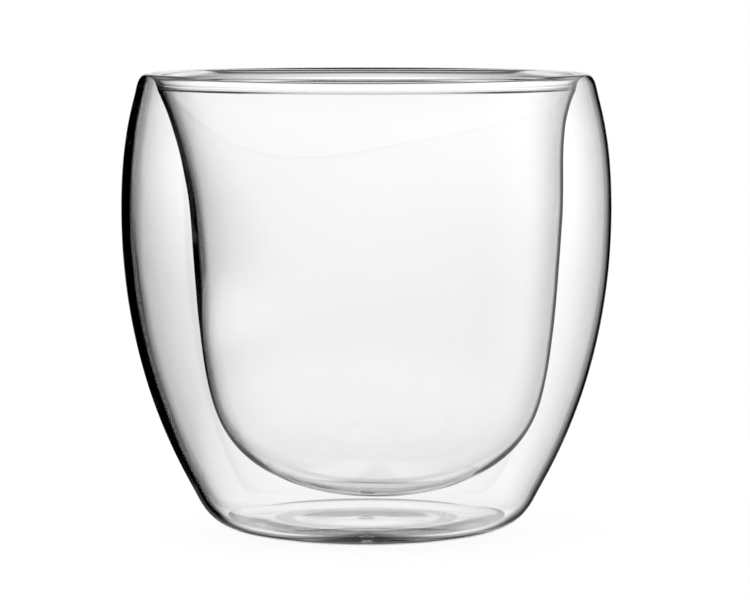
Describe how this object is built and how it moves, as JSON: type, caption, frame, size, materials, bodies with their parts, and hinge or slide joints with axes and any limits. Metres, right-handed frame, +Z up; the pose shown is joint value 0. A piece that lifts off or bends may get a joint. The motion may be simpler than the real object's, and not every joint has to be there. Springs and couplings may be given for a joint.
{
  "type": "double-walled cup",
  "caption": "Double-walled drinking cup of clear blown glass: a round-bellied outer shell and an inner bowl fused at the rim over a closed air gap, with a plugged vent in the base.",
  "frame": {"origin": "middle of the flat ring that the cup stands on", "axes": "+Z up along the axis of the outer shell, +X towards the side where the air gap is narrowest"},
  "size_m": [0.09, 0.09, 0.0845],
  "materials": {
    "clear_glass": "clear, blown and fire-polished",
    "silicone": "matte, slightly translucent"
  },
  "bodies": {
    "root": {"outer_shell": "clear_glass", "inner_bowl": "clear_glass", "rim_weld": "clear_glass", "vent_plug": "silicone"}
  },
  "joints": []
}
